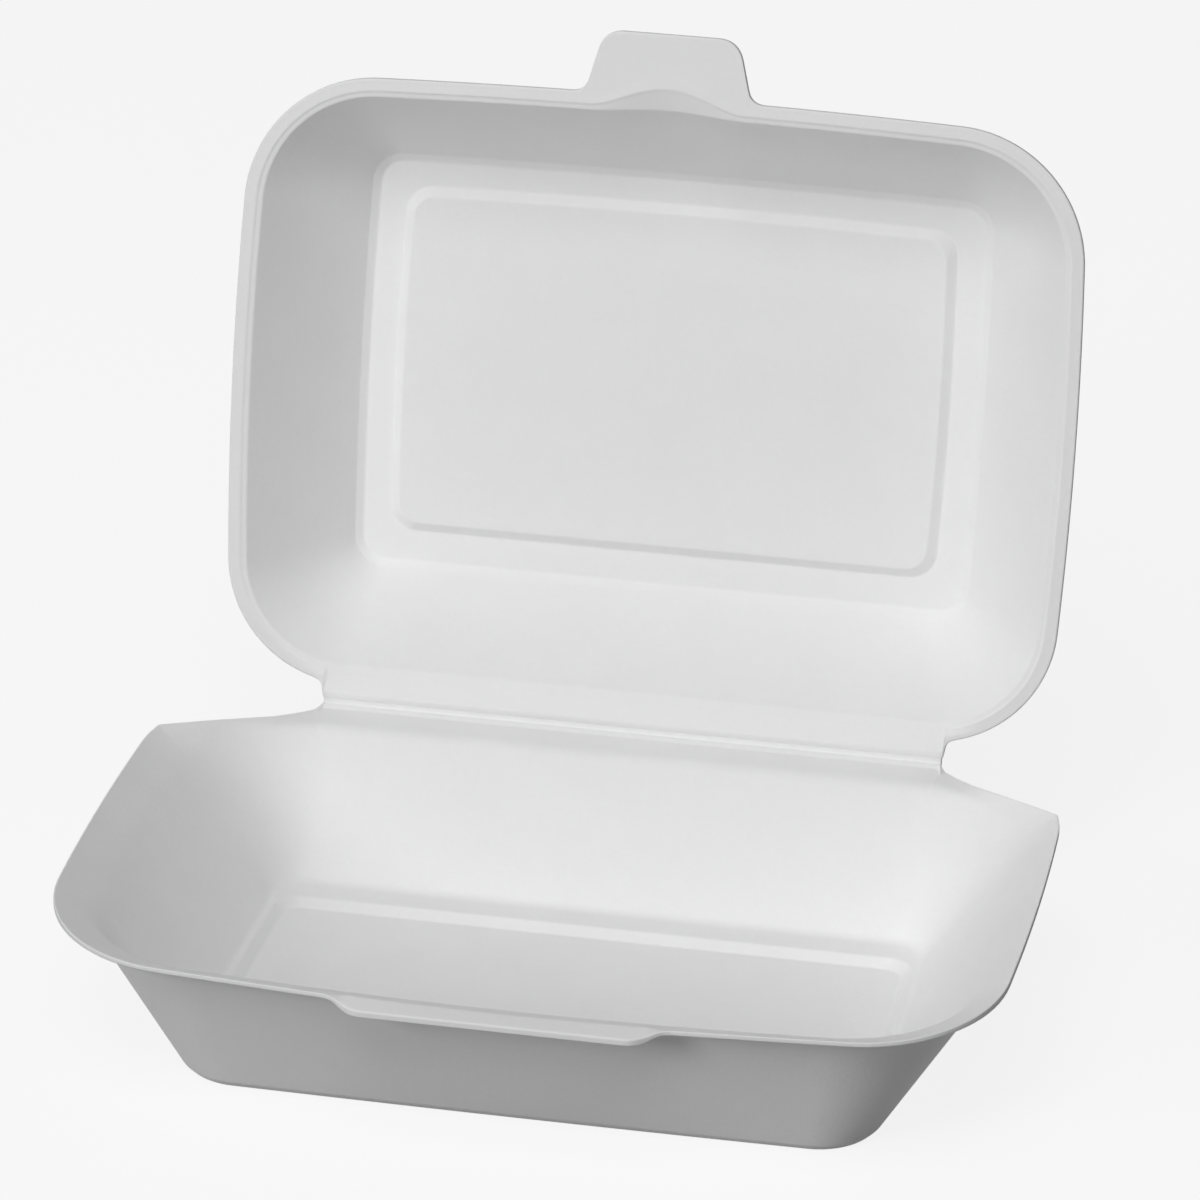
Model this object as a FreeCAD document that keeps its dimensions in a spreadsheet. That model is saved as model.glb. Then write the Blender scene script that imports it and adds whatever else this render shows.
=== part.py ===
import FreeCAD, Part
import math
import os
import Sketcher

# Foam clamshell food box: a base tub and its lid, pressed from one white sheet and joined along the
# back by a web that folds. Frame: +Z up, X along the hinge, +Y from the front edge to the hinge.
# Origin: centre of the flat bottom. The base stands on Z = 0 and the lid is open, leaning back.

os.makedirs("parts", exist_ok=True)
doc = FreeCAD.newDocument("clamshell")

# Driving dimensions, in millimetres and degrees
SIZES = {
    # tub of the base: its mouth is the crease where the wall turns out into the rim
    "base_wall": 2.3,
    "base_floor": 2.8,
    "foot_half_length": 70.5,
    "foot_front": 44.1,
    "foot_back": 41.0,
    "foot_corner": 13.0,
    "foot_bow": 0.6,
    "foot_bevel": 1.5,
    "mouth_height": 31.7,
    "mouth_half_length": 88.3,
    "mouth_half_width": 57.6,
    "mouth_front_corner": 28.0,
    "mouth_back_corner": 28.0,
    "mouth_bow": 5.5,
    # ledge round the floor, above the sunken middle
    "ledge_step": 1.7,
    "ledge_width": 7.5,
    "ledge_corner": 6.0,
    # flared rim of the base: high along both sides, lower in front, level with the fold at the back
    "flare_out": 5.2,
    "flare_rise": 5.6,
    "flare_edge": 1.7,
    "flare_corner": 28.9,
    "front_rise": 3.9,
    "front_sag": 1.6,
    "rim_front_turn": 36.0,
    "rim_front_end": 56.0,
    "rim_back_turn": 41.5,
    # straight cut across each back corner of the rim, from the side edge to the end of the fold
    "cut_front": 39.0,
    "cut_back": 65.2,
    "cut_half_length": 66.5,
    # lip that sticks out of the base's front rim
    "lip_root_half_width": 33.0,
    "lip_end_half_width": 27.0,
    "lip_reach": 68.5,
    "lip_height": 2.2,
    "lip_thickness": 1.7,
    "lip_round": 2.5,
    # how far the short sides of both mouths swell out between the corners
    "end_bow": 2.5,
    # fold between base and lid
    "hinge_back": 67.8,
    "hinge_half_length": 65.5,
    "hinge_thickness": 1.2,
    "fold_gap": 0.3,
    "fold_clearance": 1.2,
    "open_angle": 102.6,
    # lid, measured as it lies closed
    "lid_wall": 1.7,
    "lid_half_length": 88.2,
    "lid_front": 64.3,
    "lid_back": 64.2,
    "lid_front_corner": 28.0,
    "lid_back_corner": 26.0,
    "lid_bow": 2.2,
    "lid_lip": 3.2,
    "lid_depth": 24.7,
    "crown_half_length": 66.5,
    "crown_front": 45.3,
    "crown_back": 43.2,
    "crown_corner": 8.0,
    "crown_bow": 0.6,
    "panel_half_length": 57.2,
    "panel_front": 37.2,
    "panel_back": 33.6,
    "panel_corner": 5.0,
    "panel_step": 1.5,
    # tab on the lid's front edge
    "tab_root_half_width": 17.2,
    "tab_end_half_width": 13.4,
    "tab_reach": 77.1,
    "tab_round": 3.0,
}

# Worked out from the sizes above, as expressions on the sheet
HALF_TURN = (
    "(atan((sizes.mouth_half_length - sizes.foot_half_length) / sizes.mouth_height)"
    " + atan(sizes.flare_out / sizes.flare_rise)) / 2"
)
CREASE_OUT = f"sizes.base_wall * cos({HALF_TURN})"
CREASE_DROP = f"sizes.base_wall * sin({HALF_TURN})"
CREASE_HEIGHT = f"sizes.mouth_height - {CREASE_DROP}"
LEDGE_HEIGHT = "sizes.base_floor + sizes.ledge_step"
RIM_TOP = "sizes.mouth_height + sizes.flare_rise"
FRONT_TOP = "sizes.mouth_height + sizes.front_rise"
LIP_TOP = "sizes.mouth_height + sizes.lip_height"
LID_LEAN = (
    "atan((sizes.lid_half_length - sizes.lid_lip - sizes.crown_half_length) / sizes.lid_depth)"
)
LID_RUN = f"sizes.lid_wall / cos({LID_LEAN})"
CROWN_RUN = f"sizes.lid_wall * tan((90 deg - {LID_LEAN}) / 2)"

sheet = doc.addObject("Spreadsheet::Sheet", "sizes")
for row, (alias, value) in enumerate(SIZES.items(), start=1):
    sheet.set(f"A{row}", alias)
    sheet.set(f"B{row}", str(value))
    sheet.setAlias(f"B{row}", alias)
doc.recompute()


def number(text):
    """Value of an expression on the sheet's sizes."""
    value = sheet.evalExpression(text)
    return float(getattr(value, "Value", value))


def origin_plane(body, role):
    """One of a body's own origin planes."""
    return next(item for item in body.Origin.OriginFeatures if item.Role == role)


def new_sketch(body, name, role, lift=None, back=None):
    """Sketch on an origin plane, lifted along its normal and moved back in the plane."""
    sketch = body.newObject("Sketcher::SketchObject", name)
    sketch.AttachmentSupport = [(origin_plane(body, role), "")]
    sketch.MapMode = "FlatFace"
    if lift is not None:
        sketch.setExpression("AttachmentOffset.Base.z", lift)
    if back is not None:
        sketch.setExpression("AttachmentOffset.Base.y", back)
    return sketch


def bind(sketch, kind, geometry, text):
    """Dimension in a sketch, bound to an expression."""
    index = sketch.addConstraint(Sketcher.Constraint(kind, *geometry, number(text)))
    sketch.setExpression(f"Constraints[{index}]", text)


def corner_centre(first, first_reach, second, second_reach):
    """Point in front, on the right, at two known distances from two centres."""
    across = second[0] - first[0]
    along = second[1] - first[1]
    apart = math.hypot(across, along)
    foot = (first_reach ** 2 - second_reach ** 2 + apart ** 2) / (2 * apart)
    side = math.sqrt(first_reach ** 2 - foot ** 2)
    middle = (first[0] + foot * across / apart, first[1] + foot * along / apart)
    one = (middle[0] + side * along / apart, middle[1] - side * across / apart)
    other = (middle[0] - side * along / apart, middle[1] + side * across / apart)
    return max(one, other, key=lambda point: point[0] - point[1])


def outline(body, name, lift, half_length, front, back, corners, end_bow, front_bow, shift=None):
    """Round-cornered outline: bowed ends and front, straight back. Sizes are expressions.

    corners holds the radius of the two front corners and that of the two back corners.
    """
    sketch = new_sketch(body, name, "XY_Plane", lift, shift)
    end_radius = f"(({front} + {back})^2 / 4 + ({end_bow})^2) / (2 * ({end_bow}))"
    front_radius = f"(({half_length})^2 + ({front_bow})^2) / (2 * ({front_bow}))"
    reach = number(half_length)
    near = number(front)
    far = number(back)
    bend, back_bend = (number(corner) for corner in corners)
    big_end = number(end_radius)
    big_front = number(front_radius)
    end_at = (reach - big_end, (far - near) / 2)
    front_at = (0.0, big_front - near)
    front_corner = corner_centre(end_at, big_end - bend, front_at, big_front - bend)
    rise = far - back_bend - end_at[1]
    inset = math.sqrt((big_end - back_bend) ** 2 - rise ** 2)
    back_corner = (end_at[0] + inset, far - back_bend)
    back_turn = math.asin(rise / (big_end - back_bend))
    end_turn = math.asin((end_at[1] - front_corner[1]) / (big_end - bend))
    front_turn = math.asin(front_corner[0] / (big_front - bend))
    up = FreeCAD.Vector(0, 0, 1)

    def arc(centre, radius, start, end):
        circle = Part.Circle(FreeCAD.Vector(centre[0], centre[1], 0), up, radius)
        return sketch.addGeometry(Part.ArcOfCircle(circle, start, end))

    quarter = math.pi / 2
    right = arc(end_at, big_end, -end_turn, back_turn)
    back_right = arc(back_corner, back_bend, back_turn, quarter)
    start = FreeCAD.Vector(back_corner[0], far, 0)
    end = FreeCAD.Vector(-back_corner[0], far, 0)
    rear = sketch.addGeometry(Part.LineSegment(start, end))
    back_left = arc(
        (-back_corner[0], back_corner[1]), back_bend, quarter, 2 * quarter - back_turn
    )
    left = arc((-end_at[0], end_at[1]), big_end, 2 * quarter - back_turn, 2 * quarter + end_turn)
    front_left = arc(
        (-front_corner[0], front_corner[1]), bend, 2 * quarter + end_turn, 3 * quarter - front_turn
    )
    fore = arc(front_at, big_front, 3 * quarter - front_turn, 3 * quarter + front_turn)
    front_right = arc(front_corner, bend, 3 * quarter + front_turn, 4 * quarter - end_turn)

    loop = [right, back_right, rear, back_left, left, front_left, fore, front_right]
    for this, following in zip(loop, loop[1:] + loop[:1]):
        sketch.addConstraint(Sketcher.Constraint("Tangent", this, 2, following, 1))
    sketch.addConstraint(Sketcher.Constraint("Horizontal", rear))
    sketch.addConstraint(Sketcher.Constraint("Symmetric", right, 3, left, 3, -2))
    sketch.addConstraint(Sketcher.Constraint("Equal", right, left))
    sketch.addConstraint(Sketcher.Constraint("PointOnObject", fore, 3, -2))
    sketch.addConstraint(Sketcher.Constraint("Equal", front_right, front_left))
    sketch.addConstraint(Sketcher.Constraint("Equal", back_right, back_left))
    bind(sketch, "Radius", (front_right,), corners[0])
    bind(sketch, "Radius", (back_right,), corners[1])
    bind(sketch, "Radius", (right,), end_radius)
    bind(sketch, "Radius", (fore,), front_radius)
    bind(sketch, "DistanceX", (right, 3, -1, 1), f"{end_radius} - ({half_length})")
    bind(sketch, "DistanceY", (-1, 1, fore, 3), f"{front_radius} - ({front})")
    bind(sketch, "DistanceY", (-1, 1, rear, 1), back)
    bind(sketch, "DistanceY", (right, 3, rear, 1), f"({front} + {back}) / 2")
    return sketch


def loft(body, name, kind, lower, upper):
    """Straight-sided loft between two outlines, added or cut."""
    feature = body.newObject(f"PartDesign::{kind}", name)
    feature.Profile = (lower, [""])
    feature.Sections = [(upper, [""])]
    feature.Ruled = True
    lower.Visibility = False
    upper.Visibility = False
    return feature


def pad(body, name, sketch, thickness):
    """Pad of a sketch along its normal, to a thickness given as an expression."""
    feature = body.newObject("PartDesign::Pad", name)
    feature.Profile = (sketch, [""])
    feature.setExpression("Length", thickness)
    return feature


def pocket(body, name, sketch, depth, upwards=False):
    """Pocket of a sketch against its normal, or along it, to a depth given as an expression."""
    feature = body.newObject("PartDesign::Pocket", name)
    feature.Profile = (sketch, [""])
    feature.setExpression("Length", depth)
    feature.Reversed = upwards
    return feature


def cut_across(body, name, sketch):
    """Pocket of a side view right through the body, both ways."""
    feature = body.newObject("PartDesign::Pocket", name)
    feature.Profile = (sketch, [""])
    feature.Type = "ThroughAll"
    feature.Midplane = True
    return feature


def tongue(body, name, lift, root_half, end_half, root_at, end_at, shift=None):
    """Outline of a tongue that narrows from its root to its end, towards the front."""
    sketch = new_sketch(body, name, "XY_Plane", lift, shift)
    root = number(root_at)
    end = number(end_at)
    points = [
        (-number(root_half), -root),
        (-number(end_half), -end),
        (number(end_half), -end),
        (number(root_half), -root),
    ]
    corners = [FreeCAD.Vector(x, y, 0) for x, y in points]
    sides = [
        sketch.addGeometry(Part.LineSegment(this, following))
        for this, following in zip(corners, corners[1:] + corners[:1])
    ]
    for this, following in zip(sides, sides[1:] + sides[:1]):
        sketch.addConstraint(Sketcher.Constraint("Coincident", this, 2, following, 1))
    _, tip, _, base_line = sides
    sketch.addConstraint(Sketcher.Constraint("Symmetric", tip, 1, tip, 2, -2))
    sketch.addConstraint(Sketcher.Constraint("Symmetric", base_line, 1, base_line, 2, -2))
    bind(sketch, "DistanceX", (tip, 1, tip, 2), f"2 * {end_half}")
    bind(sketch, "DistanceX", (base_line, 2, base_line, 1), f"2 * {root_half}")
    bind(sketch, "DistanceY", (tip, 1, -1, 1), end_at)
    bind(sketch, "DistanceY", (base_line, 1, -1, 1), root_at)
    return sketch


def web(body, name, lift, from_back, to_back, shift=None):
    """Rectangle of the fold's half width, from one distance behind the origin to another."""
    sketch = new_sketch(body, name, "XY_Plane", lift, shift)
    wide = number("sizes.hinge_half_length")
    near = number(from_back)
    far = number(to_back)
    corners = [
        FreeCAD.Vector(x, y, 0) for x, y in ((-wide, near), (wide, near), (wide, far), (-wide, far))
    ]
    sides = [
        sketch.addGeometry(Part.LineSegment(this, following))
        for this, following in zip(corners, corners[1:] + corners[:1])
    ]
    for this, following in zip(sides, sides[1:] + sides[:1]):
        sketch.addConstraint(Sketcher.Constraint("Coincident", this, 2, following, 1))
    near_side, right_side, far_side, left_side = sides
    sketch.addConstraint(Sketcher.Constraint("Symmetric", near_side, 1, near_side, 2, -2))
    sketch.addConstraint(Sketcher.Constraint("Vertical", right_side))
    sketch.addConstraint(Sketcher.Constraint("Vertical", left_side))
    sketch.addConstraint(Sketcher.Constraint("Horizontal", far_side))
    bind(sketch, "DistanceX", (near_side, 1, near_side, 2), "2 * sizes.hinge_half_length")
    bind(sketch, "DistanceY", (-1, 1, near_side, 1), from_back)
    bind(sketch, "DistanceY", (-1, 1, far_side, 1), to_back)
    return sketch


def side_view(body, name, role, points, bend=None):
    """Closed view through points given as pairs of expressions, each held at its place.

    bend makes one side an arc: the side's number, its radius, and whether its centre lies to the
    left of the way from point to point.
    """
    sketch = new_sketch(body, name, role)
    spots = [FreeCAD.Vector(number(x), number(y), 0) for x, y in points]
    for side, (this, following) in enumerate(zip(spots, spots[1:] + spots[:1])):
        ends = [1, 2]
        if bend is not None and side == bend[0]:
            chord = following - this
            leftwards = FreeCAD.Vector(-chord.y, chord.x, 0).normalize()
            drop = math.sqrt(number(bend[1]) ** 2 - chord.Length ** 2 / 4)
            centre = (this + following) / 2 + leftwards * (drop if bend[2] else -drop)
            circle = Part.Circle(centre, FreeCAD.Vector(0, 0, 1), number(bend[1]))
            turns = [circle.parameter(this), circle.parameter(following)]
            if not bend[2]:
                turns.reverse()
                ends.reverse()
            drawn = sketch.addGeometry(Part.ArcOfCircle(circle, *turns))
            bind(sketch, "Radius", (drawn,), bend[1])
        else:
            drawn = sketch.addGeometry(Part.LineSegment(this, following))
        for end, spot in zip(ends, (points[side], points[(side + 1) % len(points)])):
            bind(sketch, "DistanceX", (drawn, end), spot[0])
            bind(sketch, "DistanceY", (drawn, end), spot[1])
    return sketch


def edges_near(feature, spots):
    """Names of a feature's upright edges that pass nearest to each spot in plan."""
    names = []
    for x, y in spots:
        best = None
        for index, edge in enumerate(feature.Shape.Edges, start=1):
            box = edge.BoundBox
            if max(box.XLength, box.YLength) > 0.2 or box.ZLength < 0.5:
                continue
            away = math.hypot(edge.CenterOfMass.x - x, edge.CenterOfMass.y - y)
            if best is None or away < best[0]:
                best = (away, f"Edge{index}")
        names.append(best[1])
    return names


def round_edges(body, name, feature, edge_names, radius):
    """Fillet of named edges of the last feature, to a radius given as an expression."""
    doc.recompute()
    fillet = body.newObject("PartDesign::Fillet", name)
    fillet.Base = (feature, edge_names)
    fillet.Radius = number(radius)
    fillet.setExpression("Radius", radius)
    return fillet


# Base: outer form of the tub and of its flared rim
base = doc.addObject("PartDesign::Body", "base")
base.Label = "base"
foot_edge = outline(
    base, "foot_edge", None,
    "sizes.foot_half_length - sizes.foot_bevel",
    "sizes.foot_front - sizes.foot_bevel",
    "sizes.foot_back - sizes.foot_bevel",
    ["sizes.foot_corner - sizes.foot_bevel"] * 2, "sizes.foot_bow", "sizes.foot_bow",
)
foot_top = outline(
    base, "foot_top", "sizes.foot_bevel",
    "sizes.foot_half_length", "sizes.foot_front", "sizes.foot_back",
    ["sizes.foot_corner"] * 2, "sizes.foot_bow", "sizes.foot_bow",
)
foot = loft(base, "foot", "AdditiveLoft", foot_edge, foot_top)
tub_bottom = outline(
    base, "tub_bottom", "sizes.foot_bevel",
    "sizes.foot_half_length", "sizes.foot_front", "sizes.foot_back",
    ["sizes.foot_corner"] * 2, "sizes.foot_bow", "sizes.foot_bow",
)
MOUTH_CORNERS = ["sizes.mouth_front_corner", "sizes.mouth_back_corner"]
outer_crease = outline(
    base, "outer_crease", CREASE_HEIGHT,
    f"sizes.mouth_half_length + {CREASE_OUT}",
    f"sizes.mouth_half_width + {CREASE_OUT}",
    f"sizes.mouth_half_width + {CREASE_OUT}",
    [f"{corner} + {CREASE_OUT}" for corner in MOUTH_CORNERS], "sizes.end_bow", "sizes.mouth_bow",
)
tub = loft(base, "tub", "AdditiveLoft", tub_bottom, outer_crease)
crease_again = outline(
    base, "crease_again", CREASE_HEIGHT,
    f"sizes.mouth_half_length + {CREASE_OUT}",
    f"sizes.mouth_half_width + {CREASE_OUT}",
    f"sizes.mouth_half_width + {CREASE_OUT}",
    [f"{corner} + {CREASE_OUT}" for corner in MOUTH_CORNERS], "sizes.end_bow", "sizes.mouth_bow",
)
RIM_HALF_LENGTH = "sizes.mouth_half_length + sizes.flare_out + sizes.flare_edge"
outer_rim = outline(
    base, "outer_rim", RIM_TOP,
    RIM_HALF_LENGTH,
    "sizes.mouth_half_width + sizes.flare_out + sizes.flare_edge",
    "sizes.mouth_half_width + sizes.flare_out + sizes.flare_edge",
    ["sizes.flare_corner", "sizes.mouth_back_corner + sizes.flare_out + sizes.flare_edge"],
    "sizes.end_bow", "sizes.mouth_bow",
)
flare = loft(base, "flare", "AdditiveLoft", crease_again, outer_rim)

# Base: hollow of the tub, inside of the rim and the sunken floor
WALL_RISE = f"({CREASE_HEIGHT} - sizes.foot_bevel)"
HOLLOW_DEPTH = f"(sizes.mouth_height - {LEDGE_HEIGHT})"


def wall_foot_reach(mouth_reach, foot_reach):
    """How far out the inside of a wall meets the ledge, for a wall seen from its end."""
    slope = f"({mouth_reach} + {CREASE_OUT} - {foot_reach}) / {WALL_RISE}"
    return f"({mouth_reach} - {slope} * {HOLLOW_DEPTH})"


LEDGE_LENGTH = wall_foot_reach("sizes.mouth_half_length", "sizes.foot_half_length")
LEDGE_FRONT = wall_foot_reach("sizes.mouth_half_width", "sizes.foot_front")
LEDGE_BACK = wall_foot_reach("sizes.mouth_half_width", "sizes.foot_back")
wall_foot = outline(
    base, "wall_foot", LEDGE_HEIGHT,
    LEDGE_LENGTH, LEDGE_FRONT, LEDGE_BACK,
    ["sizes.foot_corner - sizes.base_wall / 2"] * 2, "sizes.foot_bow", "sizes.foot_bow",
)
mouth = outline(
    base, "mouth", "sizes.mouth_height",
    "sizes.mouth_half_length", "sizes.mouth_half_width", "sizes.mouth_half_width",
    MOUTH_CORNERS, "sizes.end_bow", "sizes.mouth_bow",
)
hollow = loft(base, "hollow", "SubtractiveLoft", wall_foot, mouth)
mouth_again = outline(
    base, "mouth_again", "sizes.mouth_height",
    "sizes.mouth_half_length", "sizes.mouth_half_width", "sizes.mouth_half_width",
    MOUTH_CORNERS, "sizes.end_bow", "sizes.mouth_bow",
)
inner_rim = outline(
    base, "inner_rim", RIM_TOP,
    "sizes.mouth_half_length + sizes.flare_out",
    "sizes.mouth_half_width + sizes.flare_out",
    "sizes.mouth_half_width + sizes.flare_out",
    ["sizes.flare_corner - sizes.flare_edge", "sizes.mouth_back_corner + sizes.flare_out"],
    "sizes.end_bow", "sizes.mouth_bow",
)
open_rim = loft(base, "open_rim", "SubtractiveLoft", mouth_again, inner_rim)
ledge_edge = outline(
    base, "ledge_edge", LEDGE_HEIGHT,
    f"{LEDGE_LENGTH} - sizes.ledge_width",
    f"{LEDGE_FRONT} - sizes.ledge_width",
    f"{LEDGE_BACK} - sizes.ledge_width",
    ["sizes.ledge_corner"] * 2, "sizes.foot_bow", "sizes.foot_bow",
)
sunken_floor = pocket(base, "sunken_floor", ledge_edge, "sizes.ledge_step")

# Base: rim trimmed lower in front, with a slight sag in its middle, down to the fold behind, and
# straight across both back corners
SKY = f"{RIM_TOP} + sizes.flare_rise"
FAR_FRONT = "-(sizes.lip_reach + sizes.flare_out)"
FAR_BACK = "sizes.hinge_back + sizes.flare_out"
front_trim = side_view(
    base, "front_trim", "YZ_Plane",
    [
        (FAR_FRONT, FRONT_TOP),
        ("-sizes.rim_front_end", FRONT_TOP),
        ("-sizes.rim_front_turn", RIM_TOP),
        ("-sizes.rim_front_turn", SKY),
        (FAR_FRONT, SKY),
    ],
)
trimmed_front = cut_across(base, "trimmed_front", front_trim)
back_trim = side_view(
    base, "back_trim", "YZ_Plane",
    [
        ("sizes.rim_back_turn", RIM_TOP),
        ("sizes.mouth_half_width", "sizes.mouth_height"),
        (FAR_BACK, "sizes.mouth_height"),
        (FAR_BACK, SKY),
        ("sizes.rim_back_turn", SKY),
    ],
)
trimmed_back = cut_across(base, "trimmed_back", back_trim)
for hand, sign in (("left", "-"), ("right", "")):
    corner_trim = side_view(
        base, f"{hand}_corner_trim", "XY_Plane",
        [
            (f"{sign}({RIM_HALF_LENGTH})", "sizes.cut_front"),
            (f"{sign}sizes.cut_half_length", "sizes.cut_back"),
            (f"{sign}sizes.cut_half_length", FAR_BACK),
            (f"{sign}({RIM_HALF_LENGTH})", FAR_BACK),
        ],
    )
    cut_across(base, f"{hand}_corner_cut", corner_trim)
HALF_SAG = "(sizes.mouth_half_length - sizes.mouth_front_corner)"
sag_trim = side_view(
    base, "sag_trim", "XZ_Plane",
    [
        (f"-{HALF_SAG}", FRONT_TOP),
        (HALF_SAG, FRONT_TOP),
        (HALF_SAG, SKY),
        (f"-{HALF_SAG}", SKY),
    ],
    bend=(0, f"({HALF_SAG}^2 + sizes.front_sag^2) / (2 * sizes.front_sag)", True),
)
sagging_front = pocket(
    base, "sagging_front", sag_trim, "sizes.lip_reach + sizes.flare_out", upwards=True
)

# Base: lip in front and the web that runs back to the fold
lip_outline = tongue(
    base, "lip_outline", f"{LIP_TOP} - sizes.lip_thickness",
    "sizes.lip_root_half_width", "sizes.lip_end_half_width",
    "sizes.mouth_half_width + sizes.flare_out / 2", "sizes.lip_reach",
)
front_lip = pad(base, "front_lip", lip_outline, "sizes.lip_thickness")
base_web_outline = web(
    base, "base_web_outline", "sizes.mouth_height - sizes.hinge_thickness",
    f"sizes.mouth_half_width + {CREASE_OUT} / 2", "sizes.hinge_back - sizes.fold_gap",
)
base_web = pad(base, "base_web", base_web_outline, "sizes.hinge_thickness")
doc.recompute()
lip_corners = edges_near(
    base_web,
    [
        (side * number("sizes.lip_end_half_width"), -number("sizes.lip_reach"))
        for side in (-1, 1)
    ],
)
rounded_lip = round_edges(base, "rounded_lip", base_web, lip_corners, "sizes.lip_round")
base.Tip = rounded_lip

# Lid: drawn lying closed with the fold at its origin, then turned open about the fold
lid = doc.addObject("PartDesign::Body", "lid")
lid.Label = "lid"
TO_MIDDLE = "-sizes.hinge_back"
LID_CORNERS = ["sizes.lid_front_corner", "sizes.lid_back_corner"]
lip_edge = outline(
    lid, "lip_edge", None,
    "sizes.lid_half_length", "sizes.lid_front", "sizes.lid_back",
    LID_CORNERS, "sizes.end_bow", "sizes.lid_bow", TO_MIDDLE,
)
lid_lip = pad(lid, "lid_lip", lip_edge, "sizes.lid_wall")
wall_edge = outline(
    lid, "wall_edge", None,
    f"sizes.lid_half_length - sizes.lid_lip + {LID_RUN}",
    f"sizes.lid_front - sizes.lid_lip + {LID_RUN}",
    f"sizes.lid_back - sizes.lid_lip + {LID_RUN}",
    [f"{corner} - sizes.lid_lip + {LID_RUN}" for corner in LID_CORNERS],
    "sizes.end_bow", "sizes.lid_bow", TO_MIDDLE,
)
crown_edge = outline(
    lid, "crown_edge", "sizes.lid_depth + sizes.lid_wall",
    f"sizes.crown_half_length + {CROWN_RUN}",
    f"sizes.crown_front + {CROWN_RUN}",
    f"sizes.crown_back + {CROWN_RUN}",
    [f"sizes.crown_corner + {CROWN_RUN}"] * 2, "sizes.crown_bow", "sizes.crown_bow", TO_MIDDLE,
)
crown = loft(lid, "crown", "AdditiveLoft", wall_edge, crown_edge)
lid_mouth = outline(
    lid, "lid_mouth", None,
    "sizes.lid_half_length - sizes.lid_lip",
    "sizes.lid_front - sizes.lid_lip",
    "sizes.lid_back - sizes.lid_lip",
    [f"{corner} - sizes.lid_lip" for corner in LID_CORNERS],
    "sizes.end_bow", "sizes.lid_bow", TO_MIDDLE,
)
ceiling_edge = outline(
    lid, "ceiling_edge", "sizes.lid_depth",
    "sizes.crown_half_length", "sizes.crown_front", "sizes.crown_back",
    ["sizes.crown_corner"] * 2, "sizes.crown_bow", "sizes.crown_bow", TO_MIDDLE,
)
lid_hollow = loft(lid, "lid_hollow", "SubtractiveLoft", lid_mouth, ceiling_edge)
panel_edge = outline(
    lid, "panel_edge", "sizes.lid_depth - sizes.panel_step",
    "sizes.panel_half_length", "sizes.panel_front", "sizes.panel_back",
    ["sizes.panel_corner"] * 2, "sizes.crown_bow", "sizes.crown_bow", TO_MIDDLE,
)
panel = pad(lid, "panel", panel_edge, "sizes.panel_step")
dish_edge = outline(
    lid, "dish_edge", "sizes.lid_depth + sizes.lid_wall",
    "sizes.panel_half_length - sizes.lid_wall",
    "sizes.panel_front - sizes.lid_wall",
    "sizes.panel_back - sizes.lid_wall",
    ["sizes.panel_corner - sizes.lid_wall / 2"] * 2,
    "sizes.crown_bow", "sizes.crown_bow", TO_MIDDLE,
)
dish = pocket(lid, "dish", dish_edge, "sizes.panel_step")

# Lid: tab in front and the web that runs back to the fold
tab_outline = tongue(
    lid, "tab_outline", None,
    "sizes.tab_root_half_width", "sizes.tab_end_half_width",
    "sizes.lid_front - sizes.lid_lip / 2", "sizes.tab_reach", TO_MIDDLE,
)
front_tab = pad(lid, "front_tab", tab_outline, "sizes.lid_wall")
lid_web_outline = web(
    lid, "lid_web_outline", None,
    "sizes.lid_back - sizes.lid_lip / 2", "sizes.hinge_back - sizes.fold_gap", TO_MIDDLE,
)
lid_web = pad(lid, "lid_web", lid_web_outline, "sizes.hinge_thickness")
doc.recompute()
tab_corners = edges_near(
    lid_web,
    [
        (
            side * number("sizes.tab_end_half_width"),
            -number("sizes.tab_reach") - number("sizes.hinge_back"),
        )
        for side in (-1, 1)
    ],
)
rounded_tab = round_edges(lid, "rounded_tab", lid_web, tab_corners, "sizes.tab_round")
lid.Tip = rounded_tab
lid.Placement = FreeCAD.Placement(
    FreeCAD.Vector(0, number("sizes.hinge_back"), 0), FreeCAD.Rotation(FreeCAD.Vector(1, 0, 0), 0)
)
lid.setExpression("Placement.Base.y", "sizes.hinge_back")
lid.setExpression("Placement.Base.z", "sizes.mouth_height + sizes.fold_clearance")
lid.setExpression("Placement.Rotation.Angle", "-sizes.open_angle")
doc.recompute()

# Every feature is sound before anything is written
failed = [item.Name for item in doc.Objects if {"Invalid", "Error"} & set(item.State)]
if failed:
    raise RuntimeError(f"features that did not build: {failed}")
for body in (base, lid):
    if body.Shape.isNull() or not body.Shape.isValid() or len(body.Shape.Solids) != 1:
        raise RuntimeError(f"{body.Label} is not one sound solid")
for body in (base, lid):
    box = body.Shape.BoundBox
    centre = body.Shape.Solids[0].CenterOfMass
    print(
        f"{body.Label}: volume {body.Shape.Volume:.0f} mm3, centre {centre.y:.1f} {centre.z:.1f},"
        f" X {box.XMin:.1f} {box.XMax:.1f}, Y {box.YMin:.1f} {box.YMax:.1f},"
        f" Z {box.ZMin:.1f} {box.ZMax:.1f}"
    )
    body.Shape.exportStep(f"parts/{body.Label}.step")
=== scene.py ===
"""Foam clamshell food box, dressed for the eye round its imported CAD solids.

Frame: metres, +Z up, +X along the fold to the right, +Y from the front edge to the fold. The base
stands on Z = 0 and the lid leans back, open. Sizes of the box's pieces are millimetres and degrees;
those of the finish and the studio are metres and watts.
"""

import logging
import math
from dataclasses import dataclass
from enum import Enum
from typing import Any, Sequence

import bpy
import numpy as np
from mathutils import Matrix, Vector
from numpy.typing import NDArray


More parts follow.
